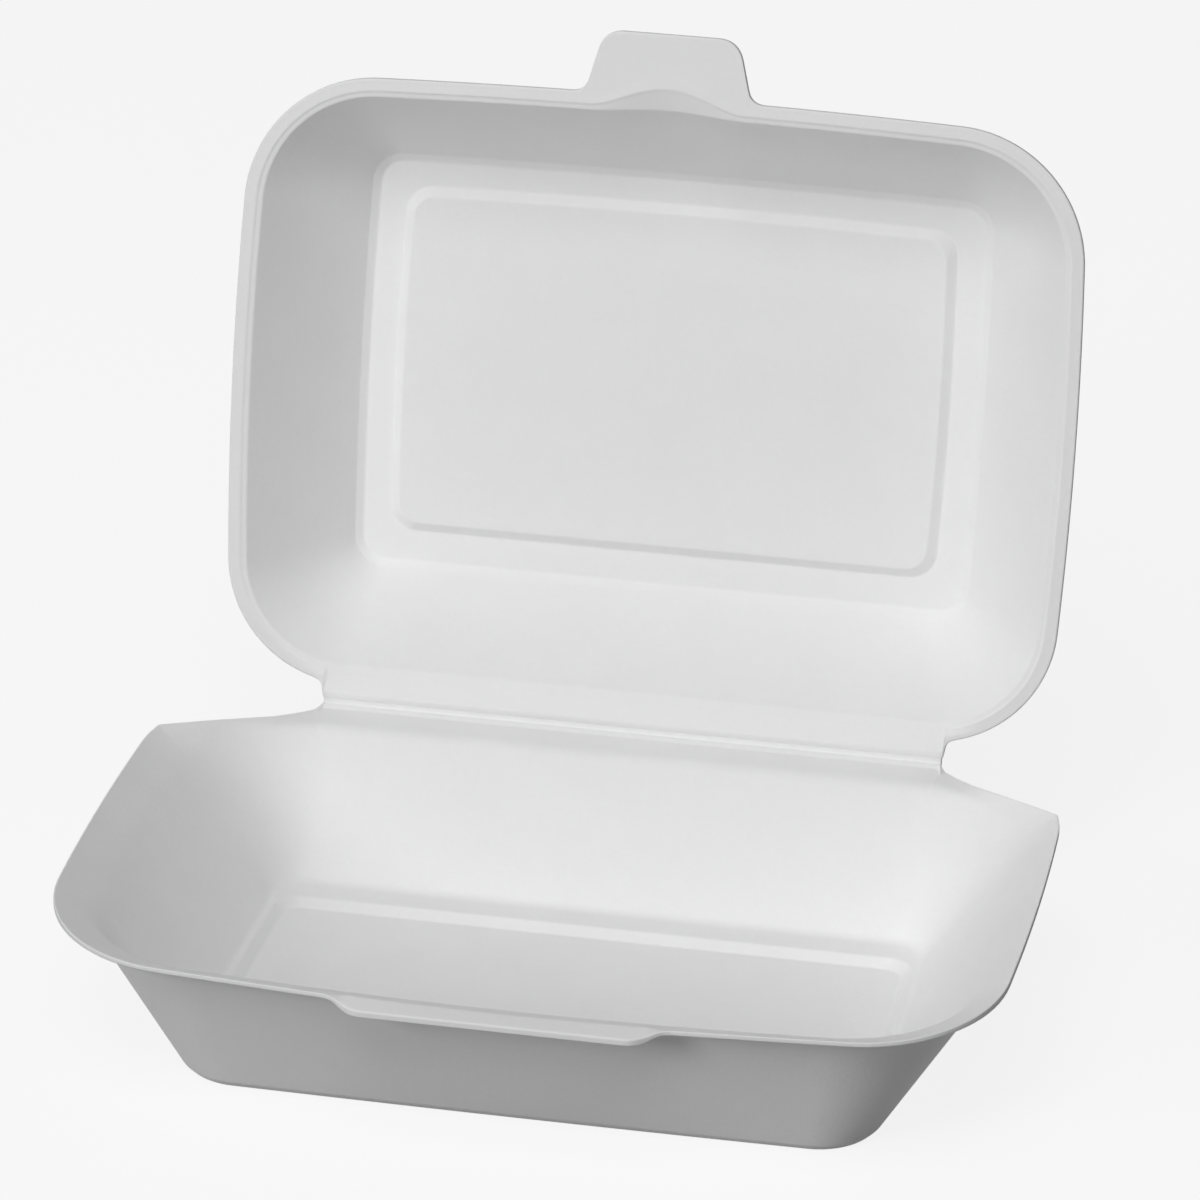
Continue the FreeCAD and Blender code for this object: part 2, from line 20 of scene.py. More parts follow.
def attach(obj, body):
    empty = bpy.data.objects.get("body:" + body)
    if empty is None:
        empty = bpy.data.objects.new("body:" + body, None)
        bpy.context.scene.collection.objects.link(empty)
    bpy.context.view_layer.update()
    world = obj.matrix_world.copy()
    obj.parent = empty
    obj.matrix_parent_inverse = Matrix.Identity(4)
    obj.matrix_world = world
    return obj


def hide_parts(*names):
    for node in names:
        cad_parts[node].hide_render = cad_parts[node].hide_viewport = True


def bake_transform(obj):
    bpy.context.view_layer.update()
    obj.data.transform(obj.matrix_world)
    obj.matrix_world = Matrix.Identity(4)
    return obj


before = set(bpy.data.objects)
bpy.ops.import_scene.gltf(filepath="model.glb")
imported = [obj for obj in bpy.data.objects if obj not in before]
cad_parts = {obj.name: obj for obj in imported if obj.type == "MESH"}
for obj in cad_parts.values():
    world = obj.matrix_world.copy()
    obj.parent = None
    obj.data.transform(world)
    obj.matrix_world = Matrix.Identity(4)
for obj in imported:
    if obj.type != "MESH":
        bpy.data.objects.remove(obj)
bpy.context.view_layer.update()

Array = NDArray[np.float64]
Colour = tuple[float, float, float, float]
Place = tuple[float, float, float]
Inputs = dict[str | int, Any]

LOG = logging.getLogger("clamshell")
MM = 0.001
WHITE: Colour = (1.0, 1.0, 1.0, 1.0)
CUT_MARK = "cut_edge"

# How many pieces a rounded turn of a shell's profile has, and how far past it its extra rows stand.
TURN_STEPS = 5
TURN_MARGIN = 0.3

# Sizes of the smaller rings between a closed form's end ring and its centre.
FAN_SHARES = (0.05, 0.4, 0.75)


# Curves and surfaces.


def crowded(count: int, centres: Sequence[float], width: float, gain: float) -> Array:
    """Numbers from 0 to 1 that crowd round some places.

    The spacing is one over a density: 1 plus gain times a bell curve of the given width at each
    centre. The numbers are equal steps of the density's running sum.

    Args:
        count: how many numbers, both ends included.
        centres: where they crowd, from 0 to 1.
        width: half width of each bell curve.
        gain: how much denser the middle of a crowd is.

    Returns:
        Rising numbers from 0 to 1.
    """
    samples = 2001
    fine = np.linspace(0.0, 1.0, samples)
    bells = np.exp(-(((fine[:, None] - np.asarray(centres)[None, :]) / width) ** 2))
    running = np.cumsum(1.0 + gain * bells.sum(axis=1))
    running = (running - running[0]) / (running[-1] - running[0])
    return np.interp(np.linspace(0.0, 1.0, count), running, fine)


def lifted(points: Array, heights: Array | float) -> Array:
    """Points (n, 3) from flat points (n, 2) and their heights."""
    return np.column_stack([points, np.broadcast_to(heights, len(points))])


@dataclass(frozen=True)
class Columns:
    """Where the columns of a shell run, from the middle of the front to the middle of the back."""

    front: Array
    corner: Array
    end: Array
    back_corner: Array
    rear: Array


@dataclass(frozen=True)
class Outline:
    """Round-cornered outline: its ends and front swell out as arcs, and its back is straight.

    The right half is five pieces that touch without a kink: half the front's arc, the front
    corner's arc, the end's arc, the back corner's arc and half the straight back.
    """

    half_length: float
    front: float
    back: float
    front_corner: float
    back_corner: float
    end_bow: float
    front_bow: float

    def grown(self, by: float) -> "Outline":
        """The same outline, moved outwards all round by one distance."""
        return Outline(
            self.half_length + by,
            self.front + by,
            self.back + by,
            self.front_corner + by,
            self.back_corner + by,
            self.end_bow,
            self.front_bow,
        )

    def half(self, columns: Columns) -> tuple[Array, Array]:
        """Points and outward directions along the right half.

        Each arc's points are its centre plus its radius times (cos, sin) of an angle that runs
        between the angles where it meets its neighbours.

        Args:
            columns: where the points lie along each of the five pieces.

        Returns:
            Points (n, 2) from the front's middle to the back's middle, and directions (n, 2).
        """
        span = self.front + self.back
        end_radius = (span**2 / 4 + self.end_bow**2) / (2 * self.end_bow)
        front_radius = (self.half_length**2 + self.front_bow**2) / (2 * self.front_bow)
        end_centre = np.array([self.half_length - end_radius, (self.back - self.front) / 2])
        front_centre = np.array([0.0, front_radius - self.front])

        # The front corner's centre lies one radius inside both arcs: two circles cross there.
        link = front_centre - end_centre
        apart = float(np.hypot(*link))
        one, two = end_radius - self.front_corner, front_radius - self.front_corner
        along = (one**2 - two**2 + apart**2) / (2 * apart)
        side = math.sqrt(one**2 - along**2)
        unit = link / apart
        corner = end_centre + along * unit + side * np.array([unit[1], -unit[0]])

        rise = self.back - self.back_corner - end_centre[1]
        inset = math.sqrt((end_radius - self.back_corner) ** 2 - rise**2)
        back_corner = np.array([end_centre[0] + inset, self.back - self.back_corner])

        quarter = math.pi / 2
        front_turn = math.asin(corner[0] / two) - quarter
        end_turn = -math.asin((end_centre[1] - corner[1]) / one)
        back_turn = math.asin(rise / (end_radius - self.back_corner))

        def arc(
            centre: Array, radius: float, start: float, stop: float, steps: Array
        ) -> tuple[Array, Array]:
            """Points and outward directions of an arc, at steps from 0 to 1."""
            angle = start + (stop - start) * steps
            away = np.column_stack([np.cos(angle), np.sin(angle)])
            return centre + radius * away, away

        back = np.column_stack([back_corner[0] * (1.0 - columns.rear), 0 * columns.rear])
        back[:, 1] += self.back
        pieces = [
            arc(front_centre, front_radius, -quarter, front_turn, columns.front[:-1]),
            arc(corner, self.front_corner, front_turn, end_turn, columns.corner[:-1]),
            arc(end_centre, end_radius, end_turn, back_turn, columns.end[:-1]),
            arc(back_corner, self.back_corner, back_turn, quarter, columns.back_corner[:-1]),
            (back, np.tile([0.0, 1.0], (len(columns.rear), 1))),
        ]
        return np.vstack([piece[0] for piece in pieces]), np.vstack([piece[1] for piece in pieces])

    def ring(self, columns: Columns, level: Array | float) -> Array:
        """Right half (n, 3) of the outline, lifted to a level."""
        return lifted(self.half(columns)[0], level)


def rounded(stations: Array, radii: Sequence[Array | float], steps: int = TURN_STEPS) -> Array:
    """Rows of a surface whose profile turns at stations, each turn rounded.

    At a turn the profile leaves its side at a distance of the radius over the tangent of half the
    angle between the two sides, and follows the parabola that touches both. One more row stands
    a little before and after each turn, which keeps the flat runs flat to the eye.

    Args:
        stations: turning points (k, n, 3) of n profiles side by side, first and last kept as ends.
        radii: radius at each of the k - 2 turns, one number or one for each profile.
        steps: how many pieces each turn is divided into.

    Returns:
        Rows (r, n, 3).
    """
    least, most, straight = 0.04, 0.46, 0.9999
    middle = stations[1:-1]
    radius = np.stack([np.broadcast_to(r, middle.shape[1]) for r in radii])[..., None]
    before, after = stations[:-2] - middle, stations[2:] - middle
    long_before = np.linalg.norm(before, axis=2, keepdims=True)
    long_after = np.linalg.norm(after, axis=2, keepdims=True)
    before, after = before / long_before, after / long_after
    shorter = np.minimum(long_before, long_after)
    cosine = np.clip((before * after).sum(axis=2, keepdims=True), -straight, straight)
    half_tangent = np.sqrt((1.0 - cosine) / (1.0 + cosine))
    longest = most * shorter / (1.0 + TURN_MARGIN)
    reach = np.clip(radius / half_tangent, least * shorter, longest)
    way = np.linspace(0.0, 1.0, steps + 1)
    back = np.concatenate([[1.0 + TURN_MARGIN], (1.0 - way) ** 2, [0.0]])[None, :, None, None]
    on = np.concatenate([[0.0], way**2, [1.0 + TURN_MARGIN]])[None, :, None, None]
    turns = middle[:, None] + reach[:, None] * (before[:, None] * back + after[:, None] * on)
    return np.concatenate([stations[:1], turns.reshape(-1, *stations.shape[1:]), stations[-1:]])


def between_turns(rows: int, turn: int) -> Array:
    """Marks (rows,) that are 1 from the middle of one rounded turn to the middle of the next.

    The first row of a profile is its first end, and each turn has two rows more than its pieces'
    ends.

    Args:
        rows: how many rows the profile has.
        turn: number of the first of the two turns, counted from 1.

    Returns:
        The marks.
    """
    each = TURN_STEPS + 3
    place = np.arange(rows)
    middle = 1 + (turn - 1) * each + each // 2
    return ((place >= middle) & (place < middle + each)).astype(float)


def first_crossing(points: Array, directions: Array, path: Array) -> Array:
    """Distance from each point, along its direction, to a path.

    Point plus distance times direction equals a place on a straight piece of the path: two
    equations in the distance and the place, solved for all pairs at once. The nearest counts.

    Args:
        points: starting points (n, 2).
        directions: unit directions (n, 2).
        path: corners (m, 2) of an open path.

    Returns:
        Distances (n,).
    """
    parallel, slack, nearest = 1e-12, 1e-9, 0.01
    start, piece = path[:-1], np.diff(path, axis=0)
    away = start[None] - points[:, None]
    cross = directions[:, None, 0] * piece[None, :, 1] - directions[:, None, 1] * piece[None, :, 0]
    cross = np.where(np.abs(cross) < parallel, parallel, cross)
    distance = (away[..., 0] * piece[None, :, 1] - away[..., 1] * piece[None, :, 0]) / cross
    place = (away[..., 0] * directions[:, None, 1] - away[..., 1] * directions[:, None, 0]) / cross
    hit = (place > -slack) & (place < 1.0 + slack) & (distance > nearest)
    return np.where(hit, distance, np.inf).min(axis=1)


def rounded_path(corners: Sequence[Sequence[float]], radii: Sequence[float]) -> Array:
    """Open flat path (m, 2) through corners (x, y), with each inner corner rounded."""
    flat = np.array([[[x, y, 0.0]] for x, y in corners])
    return rounded(flat, radii, steps=12)[:, 0, :2]


def between(first: Array | float, second: Array | float, share: Array) -> Array:
    """Values between two values: the first where share is 0, the second where it is 1."""
    return first * (1.0 - share) + second * share


def soft_minimum(first: Array, second: Array | float, blur: float) -> Array:
    """The lower of two heights, with the change from one to the other softened over blur."""
    gap = first - second
    return 0.5 * (first + second - np.sqrt(gap**2 + blur**2))


def smooth_step(value: Array, start: float, stop: float) -> Array:
    """0 before start and 1 after stop, with a smooth rise 3 t^2 - 2 t^3 between them."""
    share = np.clip((value - start) / (stop - start), 0.0, 1.0)
    return share * share * (3.0 - 2.0 * share)


def toward_centre(ring: Array, shares: Sequence[float]) -> Array:
    """Rings between a flat ring's centre and the ring: the ring, shrunk to each share."""
    centre = np.array([0.0, ring[:, 1].mean(), ring[:, 2].mean()])
    return np.stack([centre + share * (ring - centre) for share in shares])


def mirrored(rows: Array) -> Array:
    """Whole rings from rows of right halves: the left half is the right one with -X for X."""
    return np.concatenate([rows, rows[:, -2:0:-1] * np.array([-1.0, 1.0, 1.0])], axis=1)


def shell(profile: Sequence[tuple[Array, Array | float]], cut_station: int) -> tuple[Array, Array]:
    """Rings of a shell from the stations of its profiles, and the mark of its cut edge.

    The stations' turns are rounded, smaller rings fill the flats at both ends, and the right half
    is mirrored. The cut edge runs from one station to the next.

    Args:
        profile: each station's points (n, 3) along the right half, and the radius of the turn
            there, which isn't used at the first and last station.
        cut_station: number of the station at which the cut edge starts.

    Returns:
        Rows (r, m, 3) and marks (r, m).
    """
    stations = np.stack([points for points, _ in profile])
    body = rounded(stations, [radius for _, radius in profile[1:-1]])
    first, last = toward_centre(body[0], FAN_SHARES), toward_centre(body[-1], FAN_SHARES[::-1])
    rows = mirrored(np.concatenate([first, body, last]))
    cut = np.pad(between_turns(len(body), cut_station), len(FAN_SHARES))
    return rows, np.repeat(cut[:, None], rows.shape[1], axis=1)


def closed_mesh(name: str, rows: Array, cut: Array) -> bpy.types.Mesh:
    """Mesh of a closed form whose rows are rings, closed at both ends by fans to their centres.

    Corner (i, j) of the grid joins (i, j + 1), (i + 1, j + 1) and (i + 1, j), and the last column
    joins the first. The faces are turned round if the form's signed volume comes out negative.

    Args:
        name: the mesh's name.
        rows: rings (r, n, 3) in millimetres.
        cut: marks (r, n) of the cut edge, kept on the points.

    Returns:
        The mesh, in metres, smooth shaded.
    """
    count, around = rows.shape[:2]
    ends = np.stack([rows[0].mean(axis=0), rows[-1].mean(axis=0)])
    points = np.vstack([rows.reshape(-1, 3), ends]) * MM
    index = np.arange(count * around).reshape(count, around)
    beside = np.roll(index, -1, axis=1)
    quads = np.stack([index[:-1], beside[:-1], beside[1:], index[1:]], axis=-1).reshape(-1, 4)
    first, last = count * around, count * around + 1
    fans = np.vstack(
        [
            np.column_stack([np.full(around, first), beside[0], index[0]]),
            np.column_stack([np.full(around, last), index[-1], beside[-1]]),
        ]
    )
    triangles = np.vstack([quads[:, [0, 1, 2]], quads[:, [0, 2, 3]], fans])
    spots = points[triangles]
    volume = np.einsum("ij,ij->", spots[:, 0], np.cross(spots[:, 1], spots[:, 2])) / 6.0
    if volume < 0.0:
        quads, fans = quads[:, ::-1], fans[:, ::-1]
    mesh = bpy.data.meshes.new(name)
    mesh.from_pydata(points.tolist(), [], quads.tolist() + fans.tolist())
    mesh.polygons.foreach_set("use_smooth", np.ones(len(mesh.polygons), bool))
    attribute = mesh.attributes.new(CUT_MARK, "FLOAT", "POINT")
    padded = np.concatenate([cut.ravel(), [0.0, 0.0]]).astype(np.float32)
    attribute.data.foreach_set("value", padded)
    mesh.update()
    return mesh


def shown(mesh: bpy.types.Mesh) -> bpy.types.Object:
    """Object at the origin that shows a mesh, linked into the scene."""
    piece = bpy.data.objects.new(mesh.name, mesh)
    bpy.context.scene.collection.objects.link(piece)
    return piece


# Shader maths and finishes.


class Signal:
    """One number that varies over a surface; arithmetic on it adds Math nodes."""

    def __init__(self, graph: "Graph", socket: bpy.types.NodeSocket) -> None:
        """Wraps an output socket of a graph's node."""
        self.graph = graph
        self.socket = socket

    def math(self, operation: str, *others: "Signal | float", swapped: bool = False) -> "Signal":
        """Signal that a Math node gives for this one and others.

        Args:
            operation: the Math node's operation.
            others: further operands.
            swapped: whether this signal comes last.

        Returns:
            The result.
        """
        terms = [self, *others]
        if swapped:
            terms.reverse()
        made = self.graph.node("ShaderNodeMath", {"operation": operation}, dict(enumerate(terms)))
        return Signal(self.graph, made.outputs[0])

    def __add__(self, other: "Signal | float") -> "Signal":
        """Sum."""
        return self.math("ADD", other)

    __radd__ = __add__

    def __mul__(self, other: "Signal | float") -> "Signal":
        """Product."""
        return self.math("MULTIPLY", other)

    __rmul__ = __mul__

    def __sub__(self, other: "Signal | float") -> "Signal":
        """Difference."""
        return self.math("SUBTRACT", other)

    def __rsub__(self, other: "Signal | float") -> "Signal":
        """Difference, the other way round."""
        return self.math("SUBTRACT", other, swapped=True)

    def clipped(self) -> "Signal":
        """The signal held between 0 and 1."""
        return self.math("MINIMUM", 1.0).math("MAXIMUM", 0.0)


class Graph:
    """Node tree of one material or world, and the one way nodes come into it."""

    def __init__(self, owner: bpy.types.Material | bpy.types.World) -> None:
        """Empties the owner's tree."""
        owner.use_nodes = True
        self.tree = owner.node_tree
        self.tree.nodes.clear()

    def node(
        self, kind: str, settings: dict[str, Any] | None = None, inputs: Inputs | None = None
    ) -> bpy.types.Node:
        """Adds a node.

        Args:
            kind: the node's type.
            settings: its own settings, set first.
            inputs: by name or number, a value, a socket or a signal for each socket.

        Returns:
            The node.
        """
        made = self.tree.nodes.new(kind)
        for key, value in (settings or {}).items():
            setattr(made, key, value)
        for key, value in (inputs or {}).items():
            if isinstance(value, Signal):
                value = value.socket
            if isinstance(value, bpy.types.NodeSocket):
                self.tree.links.new(value, made.inputs[key])
            else:
                made.inputs[key].default_value = value
        return made

    def blend(
        self, share: Signal, first: Colour | bpy.types.NodeSocket, second: Colour
    ) -> bpy.types.NodeSocket:
        """Colour between two colours, by a signal from 0 to 1."""
        mix = self.node("ShaderNodeMix", {"data_type": "RGBA"}, {0: share, 6: first, 7: second})
        return mix.outputs[2]

    def choice(
        self, share: Signal, first: bpy.types.Node, second: bpy.types.Node
    ) -> bpy.types.NodeSocket:
        """Shader between the shaders of two nodes, by a signal from 0 to 1."""
        sockets = {0: share, 1: first.outputs[0], 2: second.outputs[0]}
        return self.node("ShaderNodeMixShader", inputs=sockets).outputs[0]


class Sheet(Enum):
    """Which half of the pressed foam sheet a finish is for."""

    BASE = "base_foam"
    LID = "lid_foam"


@dataclass(frozen=True)
class FoamFinish:
    """Matt white foam: fine closed cells, faint mottling and a soft unevenness.

    The skin is slightly darker where noise runs low, the cells show as shallow dents, and the cut
    edge is rougher, with open cells. Sizes, depths and heights are metres; a tone's or roughness's
    gain is how much it changes as a pattern goes from 0 to 1.
    """

    sheet: Sheet
    white: Colour = (0.928, 0.928, 0.932, 1.0)
    shade: Colour = (0.90, 0.90, 0.90, 1.0)
    cut_white: Colour = (0.88, 0.88, 0.88, 1.0)
    cut_share: float = 0.8
    cell: float = 0.0011
    grain: float = 0.00035
    mottle: float = 0.014
    wave: float = 0.03
    mottle_tone: float = 1.6
    cell_tone: float = 0.35
    tone_offset: float = 0.49
    roughness: float = 0.5
    mottle_rough: float = 0.16
    grain_rough: float = 0.08
    cut_rough: float = 0.2
    gloss: float = 0.35
    cell_depth: float = 0.00005
    grain_height: float = 0.00002
    wave_height: float = 0.0008
    cut_height: float = 0.0001
    bump: float = 0.6

    def material(self) -> bpy.types.Material:
        """Builds the finish, or finds it if it is there already.

        The cells are a Voronoi pattern on Object coordinates. Three noises, about 30, 14 and a
        third of a millimetre across, vary the surface, the white and the roughness.

        Returns:
            The material, named after its sheet.
        """
        name = f"pressed_{self.sheet.value}"
        if name in bpy.data.materials:
            return bpy.data.materials[name]
        made = bpy.data.materials.new(name)
        graph = Graph(made)
        place = graph.node("ShaderNodeTexCoord").outputs["Object"]

        def noise(size: float, detail: float) -> Signal:
            """Noise with features of one size."""
            values = {"Vector": place, "Scale": 1.0 / size, "Detail": detail, "Roughness": 0.55}
            return Signal(graph, graph.node("ShaderNodeTexNoise", inputs=values).outputs["Fac"])

        pattern = graph.node(
            "ShaderNodeTexVoronoi",
            {"feature": "SMOOTH_F1"},
            {"Vector": place, "Scale": 1.0 / self.cell, "Smoothness": 0.4, "Randomness": 1.0},
        )
        cells = Signal(graph, pattern.outputs["Distance"])
        grain = noise(self.grain, 2.0)
        mottle = noise(self.mottle, 3.0)
        wave = noise(self.wave, 1.0)
        mark = graph.node("ShaderNodeAttribute", {"attribute_name": CUT_MARK})
        cut = Signal(graph, mark.outputs["Fac"])

        tone = mottle * self.mottle_tone + cells * self.cell_tone - self.tone_offset
        skin = graph.blend(tone.clipped(), self.shade, self.white)
        colour = graph.blend(cut * self.cut_share, skin, self.cut_white)
        rough = mottle * self.mottle_rough + grain * self.grain_rough + self.roughness
        rough = (rough + cut * self.cut_rough).clipped()
        height = grain * self.grain_height + wave * self.wave_height - cells * self.cell_depth
        height = height + cut * grain * self.cut_height
        surface = {"Strength": self.bump, "Distance": 1.0, "Height": height}
        bump = graph.node("ShaderNodeBump", inputs=surface)
        shader = graph.node(
            "ShaderNodeBsdfPrincipled",
            inputs={
                "Base Color": colour,
                "Roughness": rough,
                "Specular IOR Level": self.gloss,
                "Normal": bump.outputs["Normal"],
            },
        )
        graph.node("ShaderNodeOutputMaterial", inputs={"Surface": shader.outputs["BSDF"]})
        return made

    def dressed(self, name: str, rows: Array, cut: Array) -> bpy.types.Object:
        """Shows a closed form in this finish.

        Args:
            name: the piece's name.
            rows: its rings (r, n, 3) in millimetres.
            cut: marks (r, n) of its cut edge.

        Returns:
            The piece.
        """
        piece = shown(closed_mesh(name, rows, cut))
        piece.data.materials.append(self.material())
        return piece


# The base.


@dataclass(frozen=True)
class BaseTub:
    """Tub of the box: sunken floor, ledge, sloped walls, flared rim, front lip and fold flange.

    Names that start with under or foot are the outside. The lip is the flat tongue in front, and
    the flange runs back to the fold between the two straight back corners.
    """

    finish: FoamFinish

    # Inside, from the middle of the floor to the top of the rim.
    floor_level: float = 2.8
    floor_inset: float = 3.0
    recess: Outline = Outline(64.8, 33.6, 30.4, 4.0, 4.0, 0.6, 0.6)
    ledge_level: float = 4.5
    ledge_rise: float = 0.15
    ledge_edge: Outline = Outline(66.6, 36.4, 32.6, 5.0, 5.0, 0.6, 0.6)
    wall_foot: Outline = Outline(68.4, 43.0, 39.0, 11.0, 7.0, 0.6, 0.6)
    mouth: Outline = Outline(88.3, 57.6, 57.6, 28.0, 28.0, 2.5, 5.5)
    mouth_level: float = 31.7
    rim: Outline = Outline(95.2, 64.5, 64.5, 28.9, 34.9, 2.5, 5.5)
    rim_level: float = 37.4

    # Thickness at the cut edge, and the outside down to the flat underside.
    sheet_edge: float = 1.5
    under_crease: Outline = Outline(89.7, 59.0, 59.0, 29.4, 29.4, 2.5, 5.5)
    under_level: float = 31.2
    foot_top: Outline = Outline(70.5, 44.1, 41.0, 13.0, 13.0, 0.6, 0.6)
    foot_level: float = 1.5
    foot_inset: float = 8.0

    # Height of the cut edge: in front; at the ends of the front as a place in Y, the level there
    # and its climb; and at places in Y along the straight back corners.
    front_level: float = 33.9
    front_sag: float = 1.7
    sag_half: float = 60.0
    side_rise: tuple[float, float, float] = (-56.0, 35.4, 0.1)
    fall_places: tuple[float, ...] = (36.0, 39.0, 45.8, 52.1, 58.4, 62.5, 65.2)
    fall_levels: tuple[float, ...] = (37.9, 37.45, 35.9, 34.3, 32.5, 31.85, 31.7)

    # Cut edge in plan, and the flare and the bead that lead to it.
    lip_end: float = 27.0
    lip_root: float = 33.0
    lip_blend: float = 6.0
    lip_reach: float = 68.0
    lip_level: float = 33.5
    lip_turn: float = 5.0

    crest_inset: float = 1.1
    flare_share: float = 0.84
    bead: float = 0.65
    fold_back: float = 67.4
    fold_half: float = 65.5
    cut_front: float = 39.0
    cut_end: tuple[float, float] = (66.5, 65.2)

    def columns(self) -> Columns:
        """Columns crowded at the lip's corners, the rim's kinks and the ends of the fold."""
        return Columns(
            front=crowded(84, centres=[0.5], width=0.12, gain=5.0),
            corner=np.linspace(0.0, 1.0, 26),
            end=np.linspace(0.0, 1.0, 30),
            back_corner=crowded(72, centres=[0.17, 0.93], width=0.09, gain=3.0),
            rear=crowded(42, centres=[0.0], width=0.12, gain=4.0),
        )

    def edge_path(self, columns: Columns) -> Array:
        """Right half of the cut edge in plan: lip, rim, straight back corner, notch and fold.

        Args:
            columns: where the rim's own outline is sampled.

        Returns:
            Corners (m, 2) from left of the lip's middle to left of the fold's middle.
        """
        rim = self.rim.half(columns)[0]
        fore = rim[: len(columns.front)]
        beyond = self.lip_root + self.lip_blend
        root_y, beyond_y = np.interp([self.lip_root, beyond], fore[:, 0], fore[:, 1])
        lip = rounded_path(
            [
                (-self.lip_end, -self.lip_reach),
                (self.lip_end, -self.lip_reach),
                (self.lip_root, root_y),
                (beyond, beyond_y),
            ],
            [self.lip_turn, self.lip_turn],
        )
        before_kink = 4.0
        side = rim[(rim[:, 0] > beyond) & (rim[:, 1] < self.cut_front - before_kink)]
        kink = np.interp(self.cut_front, rim[:, 1], rim[:, 0])
        notch = 0.6
        back = rounded_path(
            [
                tuple(side[-1]),
                (kink, self.cut_front),
                self.cut_end,
                (self.fold_half, self.fold_back - notch),
                (self.fold_half, self.fold_back),
                (-self.fold_half, self.fold_back),
            ],
            [1.6, 2.5, 0.5, 0.3],
        )
        return np.vstack([lip, side[:-1], back])

    def edge_height(self, spots: Array) -> Array:
        """Height of the rim's edge above the table at places in plan.

        It is the rim's full height at the sides; in front it falls to a lower edge with a slight
        sag, a parabola in X; behind it falls in a line along the straight corner to the fold.

        Args:
            spots: places (n, 2).

        Returns:
            Heights (n,).
        """
        across, along = spots[:, 0], spots[:, 1]
        above = self.rim_level + 3.0
        start, start_level, climb = self.side_rise
        sag = self.front_level + self.front_sag * (across / self.sag_half) ** 2
        rise = start_level + (along - start) * climb
        front = np.where(along < 0.0, soft_minimum(sag, rise, blur=0.5), above)
        behind = np.interp(along, self.fall_places, self.fall_levels, left=above)
        height = soft_minimum(front, self.rim_level, blur=0.3)
        return np.maximum(np.minimum(height, behind), self.mouth_level)

    def rows(self) -> tuple[Array, Array]:
        """Rings of the shell, from the middle of the floor over the rim to the underside.

        Each profile runs through stations joined by rounded turns: recess, ledge, wall foot,
        mouth, flare, crest, both sides of the cut edge, crease below the flare, foot and sole. The
        stations from the mouth to the cut edge lie along the mouth's outward direction. Three
        weights from 0 to 1 say where a profile ends in the lip, in the fold's flange or in the
        plain front.

        Returns:
            Rows (r, n, 3) and the mark of the cut edge (r, n).
        """
        columns = self.columns()
        mouth, away = self.mouth.half(columns)
        edge_gap = first_crossing(mouth, away, self.edge_path(columns))
        rim_gap = np.minimum(first_crossing(mouth, away, self.rim.half(columns)[0]), edge_gap)
        edge = mouth + away * edge_gap[:, None]
        rise = self.edge_height(edge) - self.mouth_level

        lip = smooth_step(edge_gap - rim_gap, 0.5, 3.0) * (edge[:, 1] < 0.0)
        fold = smooth_step(edge[:, 1], self.cut_end[1] - 0.4, self.fold_back - 0.2)
        front = smooth_step(-edge[:, 1], 40.0, 60.0) * (1.0 - lip)

        to_crest = rim_gap - self.crest_inset
        crest_gap = between(to_crest + 0.2 * lip, 0.93 * edge_gap, fold)
        crest_rise = between(rise * to_crest / rim_gap, rise + 0.05, lip) + self.bead * fold
        edge_rise = between(rise, self.lip_level - self.mouth_level, lip) + 0.75 * self.bead * fold
        flare_gap = crest_gap * between(self.flare_share, 0.9, fold)
        flare_rise = crest_rise * between(self.flare_share, 0.08, fold)
        flare = mouth + away * flare_gap[:, None]
        crest = mouth + away * crest_gap[:, None]
        edge_level = self.mouth_level + edge_rise
        thick = self.sheet_edge - 0.3 * fold - 0.4 * front
        mouth_turn, crest_turn = between(14.0, 3.5, fold), 2.0 + 2.5 * lip - 1.4 * fold

        profile = [
            (self.recess.grown(-self.floor_inset).ring(columns, self.floor_level), 0.0),
            (self.recess.ring(columns, self.floor_level), 1.0),
            (self.ledge_edge.ring(columns, self.ledge_level), 0.9),
            (self.wall_foot.ring(columns, self.ledge_level + self.ledge_rise), 3.0),
            (lifted(mouth, self.mouth_level), mouth_turn),
            (lifted(flare, self.mouth_level + flare_rise), 1.5),
            (lifted(crest, self.mouth_level + crest_rise), crest_turn),
            (lifted(edge, edge_level), 0.45),
            (lifted(edge, edge_level - thick), 0.45),
            (self.under_crease.ring(columns, self.under_level), 1.2),
            (self.foot_top.ring(columns, self.foot_level), 2.0),
            (self.foot_top.grown(-self.foot_level).ring(columns, 0.0), 0.9),
            (self.foot_top.grown(-self.foot_inset).ring(columns, 0.0), 0.0),
        ]
        return shell(profile, cut_station=7)

    def build(self) -> bpy.types.Object:
        """Builds and dresses the tub, which stands for the CAD base."""
        piece = self.finish.dressed("base_tub", *self.rows())
        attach(piece, "base")
        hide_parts("base")
        return piece


# The lid and the fold.


@dataclass(frozen=True)
class FoldLine:
    """The fold: its line along X, and how far the lid has turned open about it."""

    back: float = 67.8
    level: float = 32.9
    open_angle: float = 102.6

    def opened(self, rows: Array) -> Array:
        """Points of the lid as it stands open.

        The lid is drawn lying closed: X and Y in plan and height above its lip's underside. It is
        turned about the fold by the opening angle, as y cos a + z sin a and z cos a - y sin a.

        Args:
            rows: points (..., 3) of the closed lid.

        Returns:
            The turned points.
        """
        turn = math.radians(self.open_angle)
        across, along, up = rows[..., 0], rows[..., 1] - self.back, rows[..., 2]
        return np.stack(
            [
                across,
                self.back + along * math.cos(turn) + up * math.sin(turn),
                self.level - along * math.sin(turn) + up * math.cos(turn),
            ],
            axis=-1,
        )


